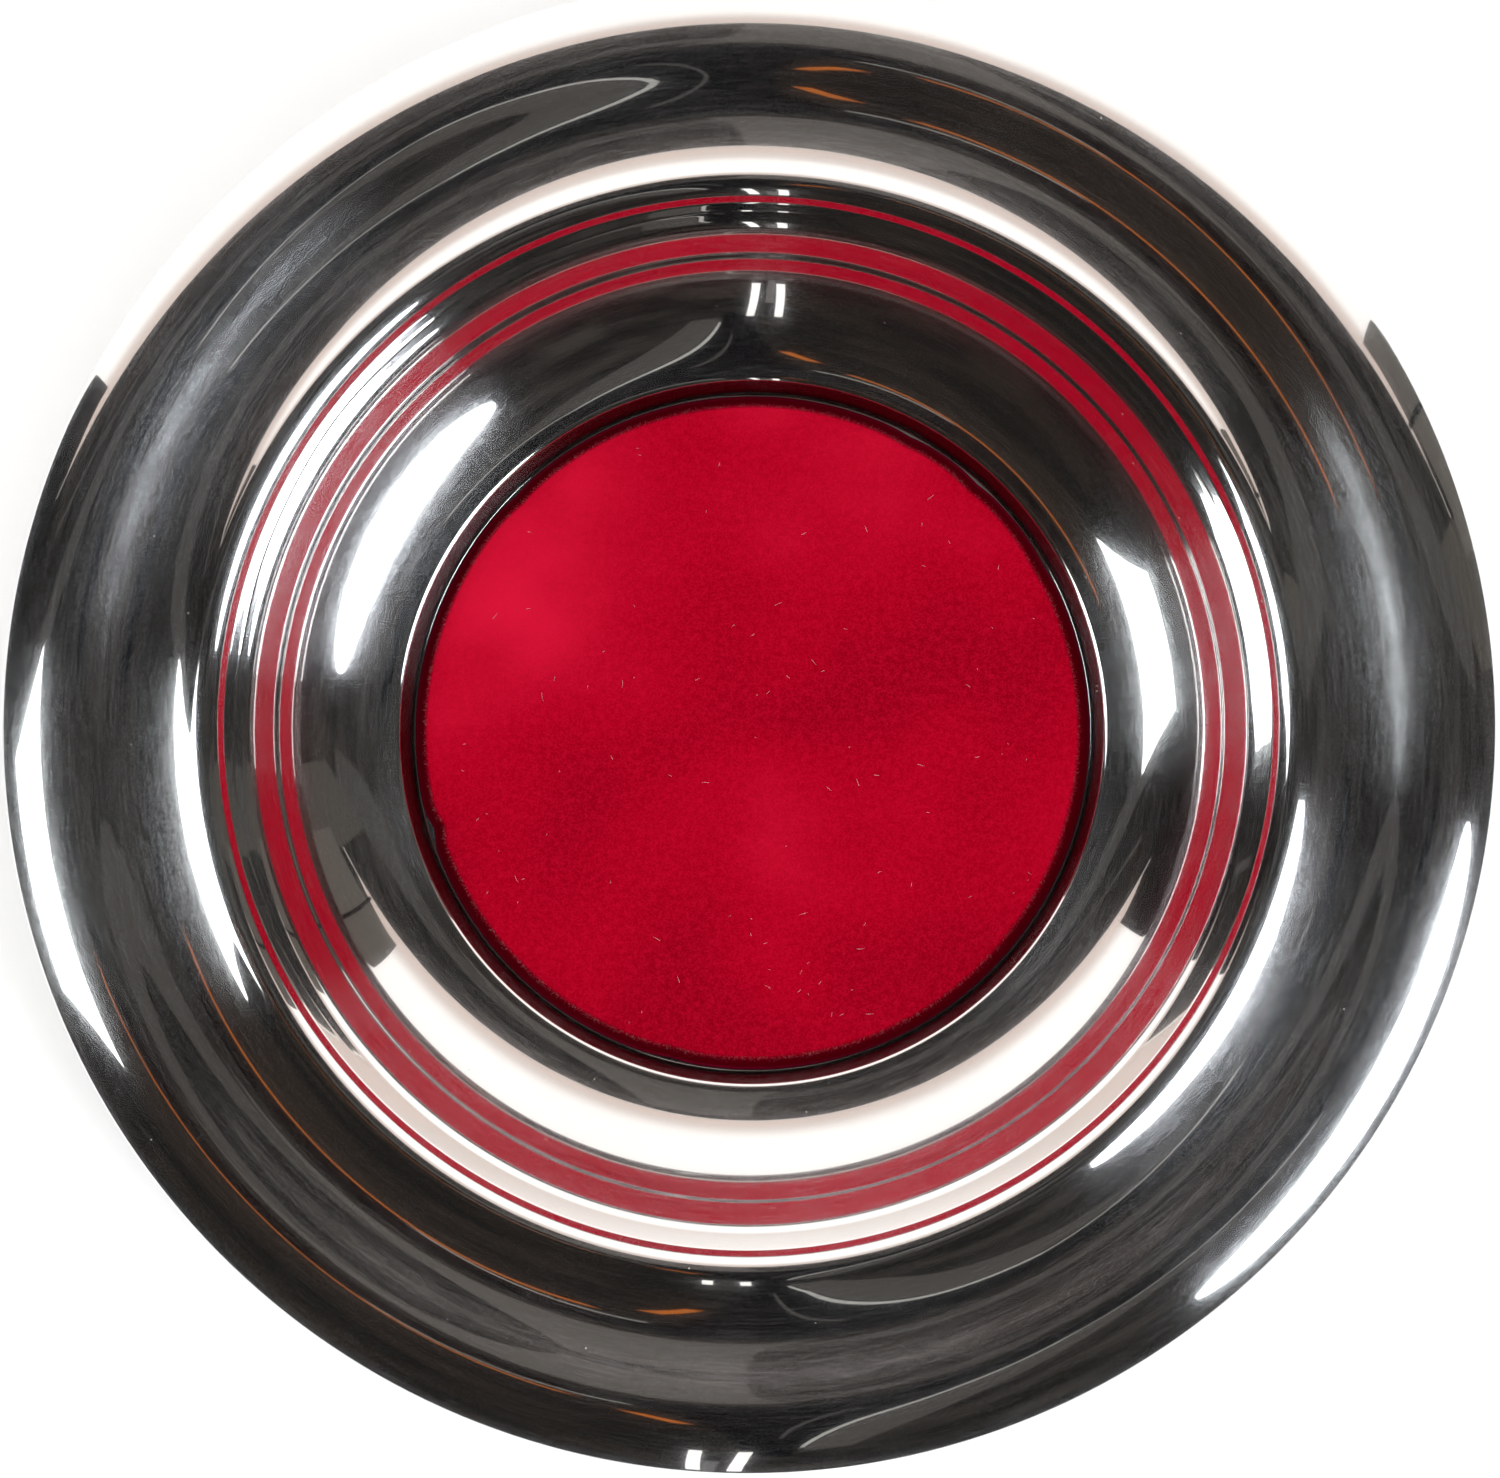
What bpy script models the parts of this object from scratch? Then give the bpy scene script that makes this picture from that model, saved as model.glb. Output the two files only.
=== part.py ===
"""A 12 inch church offering plate: one pressed steel shell with a velvet pad in its recess.

The plate stands on z = 0 with its axis on z. Lengths are in metres and angles in degrees.
Run with: blender --background --python part.py
"""

import math

import bmesh
import bpy

# Driving dimensions
PLATE_RADIUS = 0.1524
SHEET = 0.0008
TURN_STEPS = 60
ARC_STEP = 15.0

SHARP_ANGLE = 35.0

# The pad's layers lie on the floor of the recess. The velvet's cut edge spreads towards its foot.
VELVET_TOP_RADIUS = 0.0680
VELVET_FOOT_RADIUS = 0.0692
CORE_RADIUS = 0.0688
ADHESIVE_RADIUS = 0.0672
LAYER_GAP = 0.0003
ADHESIVE_THICKNESS = 0.0003
CORE_THICKNESS = 0.0008
VELVET_THICKNESS = 0.0019

# The upper face of the sheet, from the middle of the floor out to the edge. Each station is a radius
# and the slope there, positive where the sheet rises outwards. Between two stations the sheet is a
# circular arc, or straight where the two slopes are equal.
RECESS = [(0.0703, 0), (0.0713, 62), (0.0734, 62), (0.0742, 3)]
WELL = [(0.0756, 4.5), (0.0940, 49)]
WALL = [(0.0960, 53), (0.1008, 53), (0.1022, 46)]
LEDGE = [(0.1036, 22), (0.1066, 24), (0.1070, 57), (0.1079, 57), (0.1081, 48)]
CREST = [(0.1133, -24), (0.1158, -12)]
BRIM = [(0.1324, 18.5), (0.1398, 2), (0.1447, -11.5), (0.1496, -26.5), (PLATE_RADIUS, -41.5)]


def clear_scene():
    for obj in list(bpy.data.objects):
        bpy.data.objects.remove(obj, do_unlink=True)


def finish(name, colour, metallic, roughness):
    material = bpy.data.materials.new(name)
    material.use_nodes = True
    shader = material.node_tree.nodes["Principled BSDF"]
    shader.inputs["Base Color"].default_value = (*colour, 1)
    shader.inputs["Metallic"].default_value = metallic
    shader.inputs["Roughness"].default_value = roughness
    return material


def arc(start, end, height):
    """Points (radius, height, slope) after the start station, up to and with the end station."""
    (radius, slope), (last_radius, last_slope) = start, end
    if slope == last_slope:
        rise = (last_radius - radius) * math.tan(math.radians(slope))
        return [(last_radius, height + rise, slope)]
    first, last = math.radians(slope), math.radians(last_slope)
    bend = (last_radius - radius) / (math.sin(last) - math.sin(first))
    steps = math.ceil(abs(last_slope - slope) / ARC_STEP)
    points = []
    for step in range(1, steps + 1):
        angle = first + (last - first) * step / steps
        across = radius + bend * (math.sin(angle) - math.sin(first))
        up = height + bend * (math.cos(first) - math.cos(angle))
        points.append((across, up, math.degrees(angle)))
    return points


def upper_section():
    """The upper face of the sheet as points (radius, height, slope)."""
    stations = RECESS + WELL + WALL + LEDGE + CREST + BRIM
    points = [(stations[0][0], SHEET, 0)]
    for start, end in zip(stations, stations[1:]):
        points += arc(start, end, points[-1][1])
    return points


def lower_section(upper):
    """The under face, one sheet thickness square below the upper face."""
    points = []
    for radius, height, slope in upper:
        angle = math.radians(slope)
        points.append((radius + SHEET * math.sin(angle), height - SHEET * math.cos(angle)))
    return points


def turned(name, outline, material):
    """Turns an outline of (radius, height) points, which starts and ends on the axis, into a solid."""
    mesh = bpy.data.meshes.new(name)
    shape = bmesh.new()
    rings = []
    for radius, height in outline[1:-1]:
        ring = []
        for step in range(TURN_STEPS):
            angle = 2 * math.pi * step / TURN_STEPS
            ring.append(shape.verts.new((radius * math.cos(angle), radius * math.sin(angle), height)))
        rings.append(ring)
    for inner, outer in zip(rings, rings[1:]):
        for step in range(TURN_STEPS):
            after = (step + 1) % TURN_STEPS
            shape.faces.new((inner[step], outer[step], outer[after], inner[after]))
    for ring, (_, height) in ((rings[0], outline[0]), (rings[-1], outline[-1])):
        middle = shape.verts.new((0, 0, height))
        for step in range(TURN_STEPS):
            shape.faces.new((ring[step], ring[(step + 1) % TURN_STEPS], middle))
    bmesh.ops.recalc_face_normals(shape, faces=shape.faces)
    shape.to_mesh(mesh)
    shape.free()
    mesh.materials.append(material)
    mesh.shade_smooth()
    mesh.set_sharp_from_angle(angle=math.radians(SHARP_ANGLE))
    obj = bpy.data.objects.new(name, mesh)
    bpy.context.scene.collection.objects.link(obj)
    return obj


def layer(name, top_radius, foot_radius, bottom, thickness, material):
    top = bottom + thickness
    return turned(name, [(0, top), (top_radius, top), (foot_radius, bottom), (0, bottom)], material)


def plate_body():
    steel = finish("polished_steel", (0.80, 0.79, 0.77), 1.0, 0.04)
    upper = upper_section()
    lower = lower_section(upper)
    outline = [(0, SHEET)] + [(radius, height) for radius, height, _ in upper]
    outline += lower[::-1] + [(0, 0)]
    return turned("plate_body", outline, steel)


def pad():
    """Adhesive film, backing and velvet, one above the other on the floor of the recess."""
    film = finish("adhesive_film", (0.75, 0.70, 0.55), 0.0, 0.45)
    board = finish("grey_backing", (0.23, 0.20, 0.19), 0.0, 0.90)
    velvet = finish("crimson_velvet", (0.42, 0.004, 0.018), 0.0, 0.95)
    bottom = SHEET + LAYER_GAP
    layer("pad_adhesive", ADHESIVE_RADIUS, ADHESIVE_RADIUS, bottom, ADHESIVE_THICKNESS, film)
    bottom += ADHESIVE_THICKNESS + LAYER_GAP
    layer("pad_core", CORE_RADIUS, CORE_RADIUS, bottom, CORE_THICKNESS, board)
    bottom += CORE_THICKNESS + LAYER_GAP
    layer("pad_velvet", VELVET_TOP_RADIUS, VELVET_FOOT_RADIUS, bottom, VELVET_THICKNESS, velvet)


clear_scene()
plate_body()
pad()
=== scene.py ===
"""The looks of the offering plate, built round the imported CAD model.

The plate stands on z = 0 with its axis on z. Lengths are in metres and angles in degrees.
"""

import math
import random

import bpy
from mathutils import Matrix, Vector, noise

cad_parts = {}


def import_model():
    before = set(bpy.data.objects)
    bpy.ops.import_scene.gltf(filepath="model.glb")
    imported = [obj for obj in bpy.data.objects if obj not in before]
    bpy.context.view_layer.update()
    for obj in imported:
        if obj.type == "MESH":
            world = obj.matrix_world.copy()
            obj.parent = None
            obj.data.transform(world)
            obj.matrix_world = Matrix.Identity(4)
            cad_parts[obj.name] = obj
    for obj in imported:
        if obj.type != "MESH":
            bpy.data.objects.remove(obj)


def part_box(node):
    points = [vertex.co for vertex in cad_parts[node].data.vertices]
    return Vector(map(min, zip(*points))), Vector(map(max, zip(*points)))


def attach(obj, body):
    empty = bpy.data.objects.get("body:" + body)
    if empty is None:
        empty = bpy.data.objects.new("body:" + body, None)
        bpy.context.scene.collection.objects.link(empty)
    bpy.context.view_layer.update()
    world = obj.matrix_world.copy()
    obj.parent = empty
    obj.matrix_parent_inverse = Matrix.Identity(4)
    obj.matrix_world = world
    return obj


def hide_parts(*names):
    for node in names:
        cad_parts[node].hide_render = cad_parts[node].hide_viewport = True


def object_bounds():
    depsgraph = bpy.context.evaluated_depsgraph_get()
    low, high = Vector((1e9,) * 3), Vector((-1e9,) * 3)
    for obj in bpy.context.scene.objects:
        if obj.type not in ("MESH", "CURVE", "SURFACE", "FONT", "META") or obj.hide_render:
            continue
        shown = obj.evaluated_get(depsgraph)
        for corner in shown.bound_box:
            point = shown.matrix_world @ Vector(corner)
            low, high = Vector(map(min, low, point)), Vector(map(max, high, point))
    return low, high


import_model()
cad_low, cad_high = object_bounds()

# Driving sizes, from the frame
PLATE_RADIUS = cad_high.x
VELVET_LOW, VELVET_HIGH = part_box("pad_velvet")
CORE_LOW, CORE_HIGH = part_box("pad_core")
ADHESIVE_LOW, ADHESIVE_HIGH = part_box("pad_adhesive")

# Sheet metal section. Each station is a radius and the slope of the upper face there, positive where
# the sheet rises outwards. Between two stations the sheet is a circular arc.
SHEET = 0.0008
RECESS = [(0.0707, 0), (0.0711, 61), (0.0733, 61), (0.0735, 46), (0.0741, 14), (0.0744, 3)]
WELL = [(0.0756, 4.5), (0.0940, 49)]
WALL = [(0.0955, 53.5), (0.0966, 54), (0.09735, 44.5), (0.0978, 51.5), (0.0984, 54), (0.1008, 53.6)]
WALL += [(0.1017, 51), (0.1022, 46)]
LEDGE = [(0.1036, 22.5), (0.1066, 24.5), (0.1070, 57), (0.1079, 57), (0.1081, 48)]
CREST = [(0.1133, -24), (0.1158, -12)]
BRIM = [(0.1324, 18.5), (0.1398, 2), (0.1447, -11.5), (0.1496, -26.5), (PLATE_RADIUS - 0.0001, -41.5)]
TURN_STEPS = 256
ARC_STEP = 2.6
RUN_STEP = 0.0009
LEDGE_STEP = 0.00014
EDGE_ROUNDING = 0.00012
FLOOR_RINGS = (0.02, 0.045, 0.062)

# How far hand finishing leaves the metal from true, and over what distance. It fades in over a range
# of radii, so the foot stays flat. A finer wave adds its own share.
METAL_WAVE = 0.000022
METAL_WAVE_LENGTH = 0.045
METAL_WAVE_FADE = (0.076, 0.090)
FINE_WAVE_SHARE = 0.35
FINE_WAVE_RATE = 2.7
FINE_WAVE_PLACE = Vector((5, 3, 1))

# The crease on the ledge. It fades in where the sine of the angle from CREASE_TURN, in radians, rises.
CREASE_RADIUS = 0.1051
CREASE_WANDER = 0.0009
CREASE_BENDS = 3
CREASE_PLACE = 4
CREASE_WIDTH = 0.00022
CREASE_DEPTH = 0.000055
CREASE_TURN = 0.4
CREASE_FADE = (-0.35, 0.25)


# ---------------------------------------------------------------- meshes

def add_mesh(name, points, faces, material, smooth=True):
    mesh = bpy.data.meshes.new(name)
    mesh.from_pydata(points, [], faces)
    mesh.materials.append(material)
    if smooth:
        mesh.shade_smooth()
    obj = bpy.data.objects.new(name, mesh)
    bpy.context.scene.collection.objects.link(obj)
    return obj


def smoothstep(low, high, value):
    share = min(1.0, max(0.0, (value - low) / (high - low)))
    return share * share * (3 - 2 * share)


def arc(start, end, height):
    """Points (radius, height, slope) after the start station, up to and with the end station."""
    (radius, slope), (last_radius, last_slope) = start, end
    across_all = last_radius - radius
    first, last = math.radians(slope), math.radians(last_slope)
    run = across_all / math.cos((first + last) / 2)
    longest = LEDGE_STEP if LEDGE[0][0] <= radius < LEDGE[1][0] else RUN_STEP
    steps = max(math.ceil(abs(last_slope - slope) / ARC_STEP), math.ceil(run / longest))
    points = []
    for step in range(1, steps + 1):
        share = step / steps
        if slope == last_slope:
            across = radius + across_all * share
            up = height + across_all * share * math.tan(first)
            points.append((across, up, slope))
            continue
        bend = across_all / (math.sin(last) - math.sin(first))
        angle = first + (last - first) * share
        across = radius + bend * (math.sin(angle) - math.sin(first))
        up = height + bend * (math.cos(first) - math.cos(angle))
        points.append((across, up, math.degrees(angle)))
    return points


def upper_section():
    stations = RECESS + WELL + WALL + LEDGE + CREST + BRIM
    points = [(stations[0][0], SHEET, 0)]
    for start, end in zip(stations, stations[1:]):
        points += arc(start, end, points[-1][1])
    return points


def below(point, depth):
    radius, height, slope = point
    angle = math.radians(slope)
    return radius + depth * math.sin(angle), height - depth * math.cos(angle)


def sheet_outline():
    """The closed outline of the sheet as (radius, height) from the middle of the floor, out over the
    upper face, round the trimmed edge and back along the under face."""
    upper = upper_section()
    outline = [(radius, SHEET) for radius in FLOOR_RINGS]
    outline += [(radius, height) for radius, height, _ in upper[:-1]]
    radius, height, slope = upper[-1]
    angle = math.radians(slope)
    along = (math.cos(angle) * EDGE_ROUNDING, math.sin(angle) * EDGE_ROUNDING)
    inset = (radius - along[0], height - along[1])
    outline.append(inset)
    rim = below((*inset, slope), SHEET)
    corner_top = below(upper[-1], EDGE_ROUNDING)
    corner_low = below(upper[-1], SHEET - EDGE_ROUNDING)
    outline += [corner_top, corner_low, rim]
    lower = [below(point, SHEET) for point in upper[:-1]]
    outline += lower[::-2]
    return outline + [(radius, 0) for radius in reversed(FLOOR_RINGS)]


def ledge_crease(x, y, radius):
    """A shallow crease, left by the press, that wanders along the ledge on one side of the plate."""
    angle = math.atan2(y, x)
    share = smoothstep(*CREASE_FADE, math.sin(angle - CREASE_TURN))
    spot = Vector((CREASE_BENDS * math.cos(angle), CREASE_BENDS * math.sin(angle), CREASE_PLACE))
    middle = CREASE_RADIUS + CREASE_WANDER * noise.noise(spot)
    away = (radius - middle) / CREASE_WIDTH
    return -share * CREASE_DEPTH * math.exp(-away * away)


def metal_wave(x, y):
    """Height by which the finished sheet is off true."""
    radius = math.hypot(x, y)
    lift = smoothstep(*METAL_WAVE_FADE, radius) * METAL_WAVE
    spot = Vector((x, y, 0)) / METAL_WAVE_LENGTH
    fine = noise.noise(spot * FINE_WAVE_RATE + FINE_WAVE_PLACE)
    wave = lift * noise.noise(spot) + lift * FINE_WAVE_SHARE * fine
    return wave + ledge_crease(x, y, radius)


def ring_faces(count):
    """The faces that join each ring of TURN_STEPS points to the next one, for this many rings."""
    faces = []
    for ring in range(count - 1):
        start, after = ring * TURN_STEPS, (ring + 1) * TURN_STEPS
        for step in range(TURN_STEPS):
            nxt = (step + 1) % TURN_STEPS
            faces.append((start + step, after + step, after + nxt, start + nxt))
    return faces


def lathe(name, outline, material, offset):
    """Turns an outline that starts and ends beside the axis into a closed solid. offset gives the height
    by which the surface is off true at a place."""
    points = []
    for radius, height in outline:
        for step in range(TURN_STEPS):
            angle = 2 * math.pi * step / TURN_STEPS
            x, y = radius * math.cos(angle), radius * math.sin(angle)
            points.append((x, y, height + offset(x, y)))
    faces = ring_faces(len(outline))
    for ring, flipped in ((0, True), (len(outline) - 1, False)):
        middle = len(points)
        points.append((0, 0, outline[ring][1]))
        for step in range(TURN_STEPS):
            a = ring * TURN_STEPS + step
            b = ring * TURN_STEPS + (step + 1) % TURN_STEPS
            faces.append((middle, a, b) if flipped else (middle, b, a))
    return add_mesh(name, points, faces, material)


# ---------------------------------------------------------------- materials

class Shader:
    """A Principled material with short calls for its nodes."""

    def __init__(self, name):
        self.material = bpy.data.materials.new(name)
        self.material.use_nodes = True
        self.tree = self.material.node_tree
        self.surface = self.tree.nodes["Principled BSDF"]

    def fill(self, target, value):
        """Links another node's output to this socket, or sets the socket to a constant."""
        if isinstance(value, bpy.types.NodeSocket):
            self.tree.links.new(value, target)
        else:
            target.default_value = value

    def put(self, socket, value):
        self.fill(self.surface.inputs[socket], value)

    def node(self, kind, inputs=(), **settings):
        node = self.tree.nodes.new(kind)
        for name, value in settings.items():
            setattr(node, name, value)
        for key, value in dict(inputs).items():
            self.fill(node.inputs[key], value)
        return node

    def math(self, operation, first, second=0.0):
        return self.node("ShaderNodeMath", {0: first, 1: second}, operation=operation).outputs[0]

    def ramp(self, value, low, high, from_value=0.0, to_value=1.0):
        """Takes value from low..high to from_value..to_value, clamped and eased."""
        inputs = {0: value, 1: low, 2: high, 3: from_value, 4: to_value}
        node = self.node("ShaderNodeMapRange", inputs, interpolation_type="SMOOTHSTEP")
        return node.outputs[0]

    def mix(self, share, first, second):
        """Two colours mixed. Sockets 6 and 7 and output 2 are the colour ones of this node."""
        return self.node("ShaderNodeMix", {0: share, 6: first, 7: second}, data_type="RGBA").outputs[2]

    def place(self):
        """Position in metres, which on these pieces is the object's own coordinates."""
        return self.node("ShaderNodeTexCoord").outputs["Object"]

    def stretched(self, vector, scale):
        return self.node("ShaderNodeVectorMath", {0: vector, 1: scale}, operation="MULTIPLY").outputs[0]

    def noise(self, vector, scale, detail=2.0, roughness=0.5):
        inputs = {"Vector": vector, "Scale": scale, "Detail": detail, "Roughness": roughness}
        return self.node("ShaderNodeTexNoise", inputs).outputs[0]

    def cells(self, vector, scale):
        return self.node("ShaderNodeTexVoronoi", {"Vector": vector, "Scale": scale}, feature="F1")

    def bump(self, height, strength, distance):
        inputs = {"Strength": strength, "Distance": distance, "Height": height}
        self.put("Normal", self.node("ShaderNodeBump", inputs).outputs[0])


def polar(shader):
    """The position, and the same as (angle in radians, radius, height) round the plate's axis."""
    spot = shader.place()
    parts = shader.node("ShaderNodeSeparateXYZ", {0: spot}).outputs
    angle = shader.math("ARCTAN2", parts[1], parts[0])
    squares = [shader.math("POWER", part, 2.0) for part in (parts[0], parts[1])]
    radius = shader.math("SQRT", shader.math("ADD", *squares))
    return spot, (angle, radius, parts[2])


# Polishing marks, each as how far they turn, in radians to the metre of radius, and their number to the
# radian and to the metre. The finest are too small to see singly and only spread the light.
FINEST_MARKS = (0.0, 1500.0, 60000.0)
LEANING_MARKS = ((55.0, 16.0, 1700.0), (-70.0, 14.0, 1500.0))
LEANING_SHARE = 0.07
PATCH_SCALE = 28.0
PATCH_SHARE = 0.08
HAZE_RANGE = (0.48, 0.70)
HAZE_ROUGHNESS = 0.27
MIRROR_ROUGHNESS = 0.018
MARK_DEPTH = 0.0000008
STEEL_DARK = (0.79, 0.775, 0.755, 1)
STEEL_LIGHT = (0.83, 0.82, 0.80, 1)
STEEL_HAZE = (0.79, 0.81, 0.85, 1)
DUST_CELLS = 430.0
DUST_RARITY = 0.955
DUST_SIZE = (0.04, 0.08)
DUST_COLOUR = (0.55, 0.53, 0.50, 1)


def streaks(shader, place, marks):
    """Fine polishing marks that run round the plate."""
    angle, radius, height = place
    lean, along, across = marks
    leaning = shader.math("ADD", angle, shader.math("MULTIPLY", radius, lean))
    vector = shader.node("ShaderNodeCombineXYZ", {0: leaning, 1: radius, 2: height}).outputs[0]
    return shader.noise(shader.stretched(vector, (along, across, across)), 1.0, 2.0, 0.5)


def polished_steel():
    """Mirror steel. Hair-fine polishing marks cover part of it and scatter light across themselves, so
    each bright reflection carries a soft bluish glow along the radius."""
    shader = Shader("polished_steel_finish")
    spot, place = polar(shader)
    finest = streaks(shader, place, FINEST_MARKS)
    crossing = shader.math("ADD", *(streaks(shader, place, marks) for marks in LEANING_MARKS))
    patches = shader.noise(spot, PATCH_SCALE, 3.0)
    uneven = shader.math("MULTIPLY", shader.math("SUBTRACT", crossing, 1.0), LEANING_SHARE)
    broad = shader.math("MULTIPLY", shader.math("SUBTRACT", patches, 0.5), PATCH_SHARE)
    haze = shader.ramp(shader.math("ADD", shader.math("ADD", finest, uneven), broad), *HAZE_RANGE)
    roughness = shader.math("ADD", shader.math("MULTIPLY", haze, HAZE_ROUGHNESS), MIRROR_ROUGHNESS)

    tone = shader.ramp(shader.noise(spot, 22.0, 4.0), 0.3, 0.7)
    clean = shader.mix(tone, STEEL_DARK, STEEL_LIGHT)
    colour = shader.mix(shader.ramp(haze, 0.02, 0.4), clean, STEEL_HAZE)
    specks = shader.cells(spot, DUST_CELLS)
    draw = shader.node("ShaderNodeSeparateColor", {0: specks.outputs["Color"]}).outputs[0]
    rare = shader.math("GREATER_THAN", draw, DUST_RARITY)
    near = shader.ramp(specks.outputs["Distance"], *DUST_SIZE, 1.0, 0.0)
    dust = shader.math("MULTIPLY", near, rare)
    shader.put("Base Color", shader.mix(dust, colour, DUST_COLOUR))
    shader.put("Metallic", shader.math("SUBTRACT", 1.0, dust))
    shader.put("Roughness", shader.math("MAXIMUM", roughness, shader.math("MULTIPLY", dust, 0.8)))
    shader.put("Anisotropic", 1.0)
    shader.put("Anisotropic Rotation", 0.25)
    shader.put("Tangent", shader.node("ShaderNodeTangent", direction_type="RADIAL", axis="Z").outputs[0])
    shader.bump(shader.math("ADD", crossing, dust), 0.3, MARK_DEPTH)
    return shader.material


# Painted light: how fast the pad's colour grades from darker at the lower right to lighter at the upper
# left.
PAINTED_LIGHT_SLANT = 1.3
# Painted shade: the colour the pile is darkened to at its roots, where light doesn't reach into it.
VELVET_ROOT_SHADE = (0.045, 0.0, 0.0015, 1)
VELVET_DARK = (0.172, 0.0, 0.0048, 1)
VELVET_MIDDLE = (0.245, 0.0, 0.0075, 1)
VELVET_LIGHT = (0.47, 0.006, 0.028, 1)
VELVET_TUFT = (0.46, 0.004, 0.024, 1)


def crimson_velvet():
    """Cut pile: broad light and dark patches where the pile leans, painted light that grades it from
    darker lower right to lighter upper left, and a fine grain of tufts. Painted shade darkens the pile
    towards its roots, which show at the cut side."""
    shader = Shader("crimson_velvet_pile")
    spot = shader.place()
    across, along, height = shader.node("ShaderNodeSeparateXYZ", {0: spot}).outputs
    # Painted light: lighter towards the upper left, darker towards the lower right.
    painted_light_slant = shader.math("MULTIPLY", shader.math("SUBTRACT", along, across), PAINTED_LIGHT_SLANT)
    lean = shader.noise(spot, 19.0, 2.0, 0.4)
    swirl = shader.noise(shader.stretched(spot, (1.0, 1.6, 1.0)), 44.0, 3.0, 0.5)
    tufts = shader.noise(spot, 2300.0, 2.0, 0.7)
    clumps = shader.noise(spot, 650.0, 3.0, 0.6)
    shade = shader.math("ADD", shader.math("MULTIPLY", lean, 0.8), shader.math("MULTIPLY", swirl, 0.2))
    shade = shader.math("ADD", shade, painted_light_slant)
    lying = shader.mix(shader.ramp(shade, 0.34, 0.56), VELVET_DARK, VELVET_MIDDLE)
    base = shader.mix(shader.ramp(shade, 0.50, 0.88), lying, VELVET_LIGHT)
    texture = shader.math("ADD", tufts, shader.math("MULTIPLY", clumps, 0.5))
    pile = shader.mix(shader.ramp(texture, 0.55, 1.0, 0.0, 0.4), base, VELVET_TUFT)
    # Painted shade: the pile darkens towards its roots, which show on the cut side.
    depth = shader.ramp(height, VELVET_LOW.z, VELVET_HIGH.z - 0.0002)
    shader.put("Base Color", shader.mix(depth, VELVET_ROOT_SHADE, pile))
    shader.put("Roughness", 0.95)
    shader.put("Sheen Weight", 0.10)
    shader.put("Sheen Roughness", 0.40)
    shader.put("Sheen Tint", (1.0, 0.02, 0.12, 1))
    shader.put("Specular IOR Level", 0.0)
    shader.bump(shader.math("ADD", tufts, clumps), 0.6, 0.00025)
    return shader.material


def cut_fibre(name, light, dark):
    shader = Shader(name)
    spot = shader.place()
    along = shader.noise(spot, 1500.0, 2.0)
    shader.put("Base Color", shader.mix(along, light, dark))
    shader.put("Roughness", 0.85)
    shader.put("Sheen Weight", 0.4)
    shader.bump(along, 0.2, 0.00005)
    return shader.material


def grey_board():
    shader = Shader("grey_backing_board")
    spot = shader.place()
    pulp = shader.noise(shader.stretched(spot, (1.0, 1.0, 6.0)), 900.0, 4.0, 0.7)
    colour = shader.mix(pulp, (0.10, 0.085, 0.08, 1), (0.34, 0.31, 0.29, 1))
    shader.put("Base Color", colour)
    shader.put("Roughness", shader.ramp(pulp, 0.2, 0.8, 0.8, 0.97))
    shader.bump(pulp, 0.4, 0.0001)
    return shader.material


def adhesive_film():
    shader = Shader("adhesive_film_finish")
    spot = shader.place()
    cloud = shader.noise(spot, 160.0, 3.0)
    shader.put("Base Color", shader.mix(cloud, (0.62, 0.55, 0.38, 1), (0.80, 0.76, 0.62, 1)))
    shader.put("Roughness", shader.ramp(cloud, 0.3, 0.7, 0.35, 0.6))
    shader.bump(cloud, 0.2, 0.00005)
    return shader.material


# ---------------------------------------------------------------- the pad

# Nicks left by cutting the pad out by hand: azimuth, width in degrees, depth
CUT_NICKS = [
    (-104, 5.0, 0.00035), (-163, 4.0, 0.00110), (-225, 6.0, 0.00045),
    (-298, 5.0, 0.00035), (-312, 5.0, 0.00045), (-330, 6.0, 0.00030),
]
PILE_ROUNDING = 0.0004
EDGE_SPREAD = 0.0012
VELVET_SPREAD = 0.0011
VELVET_UNEVENNESS = 0.00006
SKIRT_THICKNESS = 0.00035
SKIRT_DROP = 0.0016
SKIRT_FLARE = 0.0016
CORE_SHRINK = 0.0001
CORE_SPREAD = 0.0005
CORE_ROUNDING = 0.0002
FILM_SHRINK = 0.0010
FILM_ROUNDING = 0.00005
PAD_MIDDLE = 0.02
PAD_INSET = 0.96
FACE_RINGS = 60
ROUNDING_STEPS = 5
SIDE_STEPS = 6
CUT_WOBBLE = 0.00012
FUZZ_FIBRES = 5200
FUZZ_WIDTH = 0.000022
LINT_HAIRS = 90
LINT_WIDTH = 0.00004
FIBRE_ROWS = 4


def cut_radius(angle):
    """The hand-cut outline of the pad at an angle in radians."""
    degrees = math.degrees(angle)
    radius = VELVET_HIGH.x - EDGE_SPREAD
    for azimuth, width, depth in CUT_NICKS:
        away = abs((degrees - azimuth + 180) % 360 - 180)
        radius -= depth * max(0.0, 1 - away / width) ** 1.5
    wobble = noise.noise(Vector((math.cos(angle) * 3, math.sin(angle) * 3, 2)))
    return radius - CUT_WOBBLE * (1 + wobble)


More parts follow.
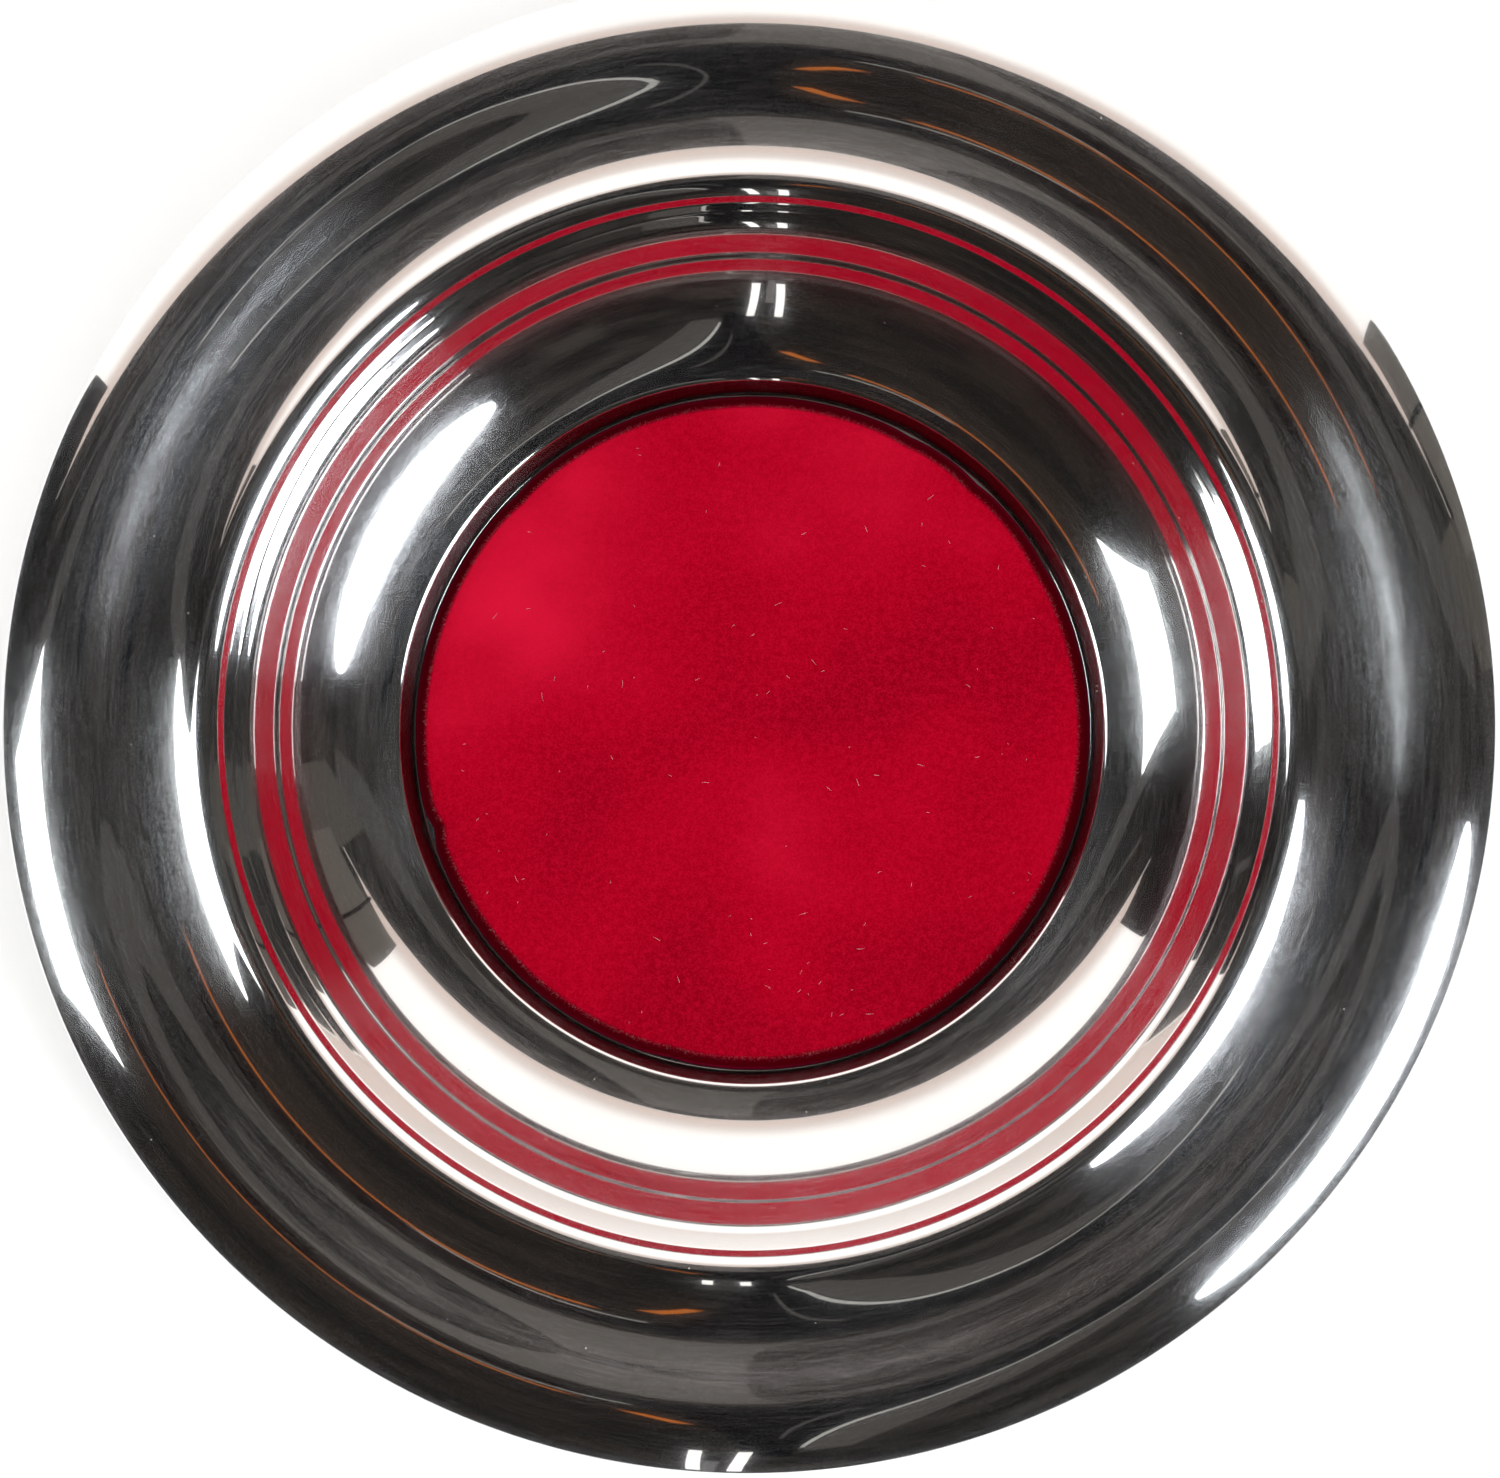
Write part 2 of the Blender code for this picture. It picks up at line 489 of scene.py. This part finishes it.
def pad_rings(low, high, spread, rounding, skirt):
    """The rings of a layer of the pad, from the middle of its face round to the middle of its foot, each
    as (share of the cut radius, distance outside that, height)."""
    face = PAD_INSET - PAD_MIDDLE
    rings = [(PAD_MIDDLE + face * ring / FACE_RINGS, 0, high) for ring in range(FACE_RINGS + 1)]
    for step in range(1, ROUNDING_STEPS + 1):
        angle = math.radians(90 * step / ROUNDING_STEPS)
        rings.append((1 - (1 - math.sin(angle)) * 0.006, 0, high - rounding * (1 - math.cos(angle))))
    for step in range(1, SIDE_STEPS + 1):
        share = step / SIDE_STEPS
        rings.append((1, spread * share ** 1.5, high - rounding - (high - rounding - low) * share))
    if skirt:
        foot = spread + SKIRT_FLARE
        rings += [(1, spread + SKIRT_FLARE * 0.4, low - skirt * 0.6), (1, foot, low - skirt)]
        rings.append((1, foot - SKIRT_THICKNESS, low - skirt))
        rings.append((1, spread - SKIRT_THICKNESS, low - skirt * 0.5))
        rings.append((1, spread - SKIRT_THICKNESS, low))
    return rings + [(PAD_INSET, 0, low), (PAD_MIDDLE, 0, low)]


def round_pad(name, low, high, shrink, spread, rounding, material, unevenness=0, skirt=0):
    """A flat round layer with the hand-cut outline. Its top edge is rounded over and its side spreads
    towards the foot, where loose pile may hang down outside the layer below as a flared skirt."""
    rings = pad_rings(low, high, spread, rounding, skirt)
    points = []
    for share, out, height in rings:
        for step in range(TURN_STEPS):
            angle = 2 * math.pi * step / TURN_STEPS
            radius = (cut_radius(angle) - shrink) * share + out
            x, y = radius * math.cos(angle), radius * math.sin(angle)
            lift = unevenness * (noise.noise(Vector((x, y, 0)) * 60) - 1) if height == high else 0
            points.append((x, y, height + lift))
    faces = ring_faces(len(rings))
    faces.append(tuple(range(TURN_STEPS)))
    last = (len(rings) - 1) * TURN_STEPS
    faces.append(tuple(last + step for step in reversed(range(TURN_STEPS))))
    return add_mesh(name, points, faces, material)


def fibre(points, faces, start, direction, length, width, curl, dice):
    """Adds one hair as a tapering three-sided strand."""
    side = direction.orthogonal().normalized()
    other = direction.cross(side)
    bend = side * dice.uniform(-curl, curl) + other * dice.uniform(-curl, curl)
    first = len(points)
    for row in range(FIBRE_ROWS):
        share = row / (FIBRE_ROWS - 1)
        middle = start + direction * length * share + bend * length * share * share
        for corner in range(3):
            turn = 2 * math.pi * corner / 3
            thick = width * (1 - 0.6 * share)
            points.append(tuple(middle + (side * math.cos(turn) + other * math.sin(turn)) * thick))
    for row in range(FIBRE_ROWS - 1):
        for corner in range(3):
            a = first + row * 3 + corner
            b = first + row * 3 + (corner + 1) % 3
            faces.append((a, b, b + 3, a + 3))
    faces.append((first + 2, first + 1, first))
    top = first + (FIBRE_ROWS - 1) * 3
    faces.append((top, top + 1, top + 2))


def edge_fuzz(material):
    """Loose pile along the cut edge of the velvet."""
    dice = random.Random(11)
    points, faces = [], []
    for _ in range(FUZZ_FIBRES):
        angle = dice.uniform(0, 2 * math.pi)
        out = Vector((math.cos(angle), math.sin(angle), 0))
        drop = dice.uniform(0.0001, 0.0029)
        start = out * (cut_radius(angle) - 0.0002 + min(0.0009, 0.5 * drop))
        start.z = VELVET_HIGH.z - drop
        lean = Vector((dice.uniform(-0.5, 0.5), dice.uniform(-0.5, 0.5), dice.uniform(-0.9, 0.5)))
        direction = (out + lean).normalized()
        fibre(points, faces, start, direction, dice.uniform(0.0003, 0.0007), FUZZ_WIDTH, 0.4, dice)
    return add_mesh("velvet_edge_fibres", points, faces, material)


def lint(material):
    """A few short hairs and specks caught on the velvet."""
    dice = random.Random(23)
    points, faces = [], []
    for _ in range(LINT_HAIRS):
        angle = dice.uniform(0, 2 * math.pi)
        radius = VELVET_HIGH.x * PAD_INSET * math.sqrt(dice.random())
        start = Vector((radius * math.cos(angle), radius * math.sin(angle), VELVET_HIGH.z + 0.00002))
        turn = dice.uniform(0, 2 * math.pi)
        direction = Vector((math.cos(turn), math.sin(turn), dice.uniform(0.0, 0.15))).normalized()
        length = dice.choice((0.0004, 0.0006, 0.0009, 0.0016))
        fibre(points, faces, start, direction, length, LINT_WIDTH, 0.3, dice)
    return add_mesh("velvet_lint", points, faces, material)


# ---------------------------------------------------------------- the studio

# Apart from the two softboxes the studio shapes are no lamps: each glows with the light or shade of its
# part of the room painted in, and only reflections show them, though the sweep also lights the pad and
# floor.
def light_material(name, colour, strength):
    material = bpy.data.materials.new(name)
    material.use_nodes = True
    nodes = material.node_tree.nodes
    nodes.clear()
    glow = nodes.new("ShaderNodeEmission")
    glow.inputs["Color"].default_value = (*colour, 1)
    glow.inputs["Strength"].default_value = strength
    out = nodes.new("ShaderNodeOutputMaterial")
    material.node_tree.links.new(glow.outputs[0], out.inputs[0])
    return material


def toward(azimuth, zenith, distance):
    a, z = math.radians(azimuth), math.radians(zenith)
    flat = math.sin(z) * distance
    return Vector((flat * math.cos(a), flat * math.sin(a), math.cos(z) * distance))


def only_reflected(obj, lights_things):
    """The camera looks past the studio. What lights things also lights the pad and the floor."""
    obj.visible_camera = False
    obj.visible_shadow = False
    obj.visible_diffuse = lights_things
    obj.visible_transmission = False
    return obj


def quad(name, corners, material, lights_things=False):
    return only_reflected(add_mesh(name, corners, [(0, 1, 2, 3)], material, False), lights_things)


SOFTBOX_STEPS = 64


def round_softbox(azimuths, zeniths, distance, material):
    """A round softbox that faces the plate, across a range of azimuths and zenith angles."""
    mid_azimuth, mid_zenith = sum(azimuths) / 2, sum(zeniths) / 2
    half_azimuth, half_zenith = (azimuths[1] - azimuths[0]) / 2, (zeniths[1] - zeniths[0]) / 2
    points, faces = [toward(mid_azimuth, mid_zenith, distance)], []
    for step in range(SOFTBOX_STEPS):
        turn = 2 * math.pi * step / SOFTBOX_STEPS
        azimuth = mid_azimuth + half_azimuth * math.cos(turn)
        points.append(toward(azimuth, mid_zenith + half_zenith * math.sin(turn), distance))
        faces.append((0, 1 + step, 1 + (step + 1) % SOFTBOX_STEPS))
    only_reflected(add_mesh("studio_softbox_round", points, faces, material), True)


def square_softbox(high_azimuths, low_azimuths, zeniths, distance, material):
    """A square softbox, wider in azimuth at its upper edge because that is nearer overhead."""
    corners = [toward(azimuth, zeniths[0], distance) for azimuth in high_azimuths]
    corners += [toward(azimuth, zeniths[1], distance) for azimuth in reversed(low_azimuths)]
    quad("studio_softbox_square", corners, material, True)


ROOM_HEIGHT = 3.2
LAYER_DROP = 0.01


def ceiling_shape(name, corners, material, layer=1):
    """A flat shape under the ceiling. Its corners are given as shares of the ceiling's height, so a share
    is the tangent of the angle from overhead. Higher layers hang lower and hide the others."""
    height = ROOM_HEIGHT - LAYER_DROP * layer
    quad(name, [(x * height, y * height, height) for x, y in corners], material)


def ceiling_panel(name, across, along, material, layer=1):
    """Like ceiling_shape, for a rectangle."""
    (x0, x1), (y0, y1) = across, along
    ceiling_shape(name, [(x0, y0), (x1, y0), (x1, y1), (x0, y1)], material, layer)


def glow_shader(name, colour, strength):
    """A material that only glows, with a colour made by nodes."""
    shader = Shader(name)
    shader.put("Base Color", (0, 0, 0, 1))
    shader.put("Specular IOR Level", 0.0)
    shader.put("Emission Color", colour(shader))
    shader.put("Emission Strength", strength)
    return shader.material


ROOM_LEFT = (0.028, 0.022, 0.018, 1)
ROOM_RIGHT = (0.052, 0.047, 0.042, 1)
ROOM_BLOTCH = (0.013, 0.012, 0.011, 1)
ROOM_COLUMNS = 48
ROOM_ROWS = 16
ROOM_DISTANCE = 7.0
# The zenith angle of the room's highest ring, and how far the rings reach down from it
ROOM_ZENITHS = (0.5, 94)


def dark_room():
    """The unlit walls and ceiling, a little browner to the left and greyer to the right."""
    def colour(shader):
        spot = shader.place()
        across = shader.node("ShaderNodeSeparateXYZ", {0: spot}).outputs[0]
        side = shader.mix(shader.ramp(across, -2.0, 2.5), ROOM_LEFT, ROOM_RIGHT)
        blotch = shader.ramp(shader.noise(shader.stretched(spot, (1.0, 1.0, 0.6)), 0.7, 2.0), 0.35, 0.7)
        return shader.mix(blotch, ROOM_BLOTCH, side)

    points, faces = [], []
    first, span = ROOM_ZENITHS
    for row in range(ROOM_ROWS + 1):
        for column in range(ROOM_COLUMNS):
            zenith = first + span * row / ROOM_ROWS
            points.append(toward(360 * column / ROOM_COLUMNS, zenith, ROOM_DISTANCE))
    for row in range(ROOM_ROWS):
        for column in range(ROOM_COLUMNS):
            nxt = (column + 1) % ROOM_COLUMNS
            a, b = row * ROOM_COLUMNS, (row + 1) * ROOM_COLUMNS
            faces.append((a + column, a + nxt, b + nxt, b + column))
    faces.append(tuple(range(ROOM_COLUMNS)))
    material = glow_shader("unlit_room", colour, 1.0)
    only_reflected(add_mesh("studio_room", points, faces, material), False)


def ceiling():
    """Beams and panels on the ceiling, and the boom that holds the camera, as flat shapes."""
    grey = light_material("beam_grey", (0.072, 0.067, 0.062), 1.0)
    dull = light_material("strip_grey", (0.082, 0.076, 0.070), 1.0)
    pale = light_material("panel_grey", (0.125, 0.114, 0.104), 1.0)
    dim = light_material("joist_grey", (0.085, 0.080, 0.074), 1.0)
    black = light_material("boom_black", (0.003, 0.003, 0.004), 1.0)
    bright = light_material("boom_edge", (0.62, 0.61, 0.58), 1.0)
    orange = light_material("strap_orange", (0.60, 0.17, 0.03), 1.0)
    ceiling_shape("studio_beam_across", [(-1.2, 0.115), (1.2, 0.135), (1.2, 0.285), (-1.2, 0.130)], grey)
    ceiling_panel("studio_joist_across", (-0.28, 0.34), (0.355, 0.363), dim)
    ceiling_shape("studio_joist_slanted", [(-0.9, 0.30), (-0.10, 0.24), (-0.10, 0.25), (-0.9, 0.32)], dim)
    ceiling_shape("studio_panel", [(-0.04, 0.10), (0.035, 0.10), (0.085, 0.50), (-0.04, 0.50)], pale, 2)
    ceiling_panel("studio_strip_along", (0.035, 0.115), (-1.05, -0.08), dull)
    ceiling_panel("studio_boom", (-0.055, 0.024), (-1.25, 0.03), black, 3)
    ceiling_panel("studio_boom_edge", (0.024, 0.031), (-0.92, -0.06), bright, 3)
    ceiling_panel("studio_boom_rail", (-0.012, -0.008), (-0.60, -0.10), dim, 4)
    ceiling_panel("studio_head_wide", (-0.13, 0.16), (-0.055, 0.045), black, 2)
    ceiling_panel("studio_head_edge", (-0.11, 0.13), (-0.063, -0.055), bright, 2)
    low_strap = [(-0.062, -0.30), (-0.072, -0.19), (-0.084, -0.19), (-0.074, -0.30)]
    high_strap = [(-0.075, -0.10), (-0.20, 0.0), (-0.21, -0.016), (-0.085, -0.115)]
    ceiling_shape("studio_strap_low", low_strap, orange, 4)
    ceiling_shape("studio_strap_high", high_strap, orange, 4)


SWEEP_LEFT = -1.37
SWEEP_RIGHT = 1.07
SWEEP_TOP = 1.30
SWEEP_BEHIND = 0.79
SWEEP_CURVE = 0.25
SWEEP_STEPS = 8
SWEEP_WHITE = (1.0, 0.958, 0.925, 1)
SWEEP_SHADED = (0.66, 0.575, 0.525, 1)
SWEEP_GLOW = 1.42
FLAG_DISTANCE = 3.4


def paper_sweep():
    """White paper that hangs behind the plate and curves forward on to the floor. It is darker towards
    its top."""
    def colour(shader):
        height = shader.node("ShaderNodeSeparateXYZ", {0: shader.place()}).outputs[2]
        return shader.mix(shader.ramp(height, 0.75, 1.18), SWEEP_WHITE, SWEEP_SHADED)

    profile = [(SWEEP_BEHIND, SWEEP_TOP), (SWEEP_BEHIND, SWEEP_CURVE)]
    for step in range(1, SWEEP_STEPS + 1):
        angle = math.radians(90 * step / SWEEP_STEPS)
        back = SWEEP_BEHIND - SWEEP_CURVE * (1 - math.cos(angle))
        profile.append((back, SWEEP_CURVE * (1 - math.sin(angle)) + 0.001))
    points, faces = [], []
    for back, up in profile:
        points += [(SWEEP_LEFT, back, up), (SWEEP_RIGHT, back, up)]
    for row in range(len(profile) - 1):
        a = row * 2
        faces.append((a, a + 1, a + 3, a + 2))
    glow = glow_shader("sweep_glow", colour, SWEEP_GLOW)
    only_reflected(add_mesh("studio_sweep", points, faces, glow), True)


def upright(name, across, upward, material, back):
    """A flat rectangle that stands upright behind the plate."""
    (x0, x1), (z0, z1) = across, upward
    quad(name, [(x0, back, z0), (x1, back, z0), (x1, back, z1), (x0, back, z1)], material)


def behind_the_plate():
    """The roll of the paper, its cream colour painted shade, its long crossbar and stand, the walls
    beside it and a black flag.
    """
    # Painted shade: the beige band of shaded paper at the roll.
    cream = light_material("roll_painted_shade", (0.95, 0.78, 0.70), 1.0)
    roll = [(-1.42, 1.18), (1.15, 1.18), (1.68, 1.42), (-1.85, 1.42)]
    quad("studio_roll", [(x, SWEEP_BEHIND - 0.005, z) for x, z in roll], cream)
    tube = light_material("crossbar_glow", (1.5, 1.4, 1.3), 1.0)
    upright("studio_crossbar", (-2.05, 2.10), (1.415, 1.435), tube, SWEEP_BEHIND - 0.01)
    black = light_material("stand_black", (0.004, 0.004, 0.004), 1.0)
    upright("studio_stand", (1.40, 1.435), (0.0, 1.40), black, SWEEP_BEHIND - 0.012)
    wall = light_material("side_wall_grey", (0.128, 0.115, 0.100), 1.0)
    upright("studio_wall_right", (SWEEP_RIGHT, 2.6), (0.0, 1.22), wall, SWEEP_BEHIND)
    dusk = light_material("far_wall_grey", (0.085, 0.077, 0.067), 1.0)
    upright("studio_wall_far", (2.2, 6.0), (0.0, 3.4), dusk, SWEEP_BEHIND + 0.02)
    flag = light_material("flag_black", (0.010, 0.009, 0.008), 1.0)
    spots = [(149, 57), (186, 57), (188, 89), (149, 89)]
    quad("studio_flag_left", [toward(*spot, FLAG_DISTANCE) for spot in spots], flag)


LEG_DISTANCE = 2.5
LEG_WIDTH = 1.2
LEG_ZENITHS = (47, 80)


def light_stand():
    """Two chrome legs in front of the plate and a grey one between them, seen low in the reflections.
    Their places and width are azimuths."""
    # Painted reflection: the chrome legs glow with the light they would reflect.
    chrome = light_material("stand_glow", (1.0, 0.97, 0.94), 1.7)
    grey = light_material("stand_shade", (0.16, 0.155, 0.15), 1.0)
    high, low = LEG_ZENITHS
    for name, top, foot in (("left", -97.5, -96.9), ("right", -93.3, -93.6)):
        spots = [(top, high), (top + LEG_WIDTH, high), (foot + LEG_WIDTH, low), (foot, low)]
        quad(f"studio_leg_{name}", [toward(*spot, LEG_DISTANCE) for spot in spots], chrome)
    spots = [(-95.6, 60), (-94.4, 60), (-94.6, 84), (-95.6, 84)]
    quad("studio_leg_middle", [toward(*spot, LEG_DISTANCE + 0.05) for spot in spots], grey)


SOFTBOX_DISTANCE = 2.95
ROUND_GLOW = 9.0
SQUARE_GLOW = 7.0


def studio():
    dark_room()
    ceiling()
    paper_sweep()
    behind_the_plate()
    light_stand()
    key = light_material("softbox_round_glow", (0.97, 0.985, 1.0), ROUND_GLOW)
    round_softbox((-51.5, -4.0), (30.5, 64), SOFTBOX_DISTANCE, key)
    fill = light_material("softbox_square_glow", (0.98, 1.0, 0.985), SQUARE_GLOW)
    square_softbox((168, 202), (179, 197.3), (32, 61.5), SOFTBOX_DISTANCE, fill)


FLOOR_HALF = 8.0
FLOOR_TONES = ((0.91, 0.91, 0.91, 1), (0.94, 0.94, 0.94, 1))
WORLD_STRENGTH = 0.90


def floor():
    shader = Shader("pale_floor")
    spot = shader.place()
    mottle = shader.noise(spot, 40.0, 4.0)
    shader.put("Base Color", shader.mix(mottle, *FLOOR_TONES))
    shader.put("Roughness", 0.9)
    shader.put("Specular IOR Level", 0.1)
    half = FLOOR_HALF
    points = [(-half, -half, 0), (half, -half, 0), (half, half, 0), (-half, half, 0)]
    add_mesh("floor", points, [(0, 1, 2, 3)], shader.material, False)


def world():
    surroundings = bpy.data.worlds.new("pale_room")
    surroundings.use_nodes = True
    background = surroundings.node_tree.nodes["Background"]
    background.inputs["Color"].default_value = (1.0, 1.0, 1.0, 1)
    background.inputs["Strength"].default_value = WORLD_STRENGTH
    bpy.context.scene.world = surroundings
    bpy.context.scene.view_settings.view_transform = "Standard"


# The camera stands a metre above the plate and a little to its lower right.
CAMERA_PLACE = Vector((0.035, -0.055, 1.0))
CAMERA_AIM = Vector((0.01886, -0.03038, 0.0281))
CAMERA_LENS = 114.68
CAMERA_SHIFT = (-0.06, 0.09)


def camera():
    data = bpy.data.cameras.new("camera")
    data.sensor_width = 36.0
    data.lens = CAMERA_LENS
    data.shift_x, data.shift_y = CAMERA_SHIFT
    data.clip_start, data.clip_end = 0.01, 50.0
    obj = bpy.data.objects.new("camera", data)
    bpy.context.scene.collection.objects.link(obj)
    back = (CAMERA_PLACE - CAMERA_AIM).normalized()
    right = Vector((0, 1, 0)).cross(back).normalized()
    up = back.cross(right)
    turn = Matrix((right, up, back)).transposed()
    obj.matrix_world = Matrix.Translation(CAMERA_PLACE) @ turn.to_4x4()
    bpy.context.scene.camera = obj


# ---------------------------------------------------------------- the object

def build():
    plate = lathe("plate_shell", sheet_outline(), polished_steel(), metal_wave)
    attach(plate, "root")
    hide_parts("plate_body")

    velvet = round_pad(
        "velvet_face", VELVET_LOW.z, VELVET_HIGH.z, 0, VELVET_SPREAD, PILE_ROUNDING, crimson_velvet(),
        VELVET_UNEVENNESS, SKIRT_DROP,
    )
    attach(velvet, "root")
    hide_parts("pad_velvet")
    core = round_pad(
        "backing_board", CORE_LOW.z, CORE_HIGH.z, CORE_SHRINK, CORE_SPREAD, CORE_ROUNDING, grey_board(),
    )
    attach(core, "root")
    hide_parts("pad_core")
    film = round_pad(
        "adhesive_layer", ADHESIVE_LOW.z, ADHESIVE_HIGH.z, FILM_SHRINK, 0, FILM_ROUNDING, adhesive_film(),
    )
    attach(film, "root")
    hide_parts("pad_adhesive")

    fuzz = edge_fuzz(cut_fibre("cut_pile", (0.30, 0.003, 0.014, 1), (0.12, 0.0, 0.004, 1)))
    specks = lint(cut_fibre("lint_hairs", (0.85, 0.55, 0.55, 1), (0.62, 0.20, 0.22, 1)))
    for piece in (fuzz, specks):
        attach(piece, "root")


world()
floor()
studio()
camera()
build()
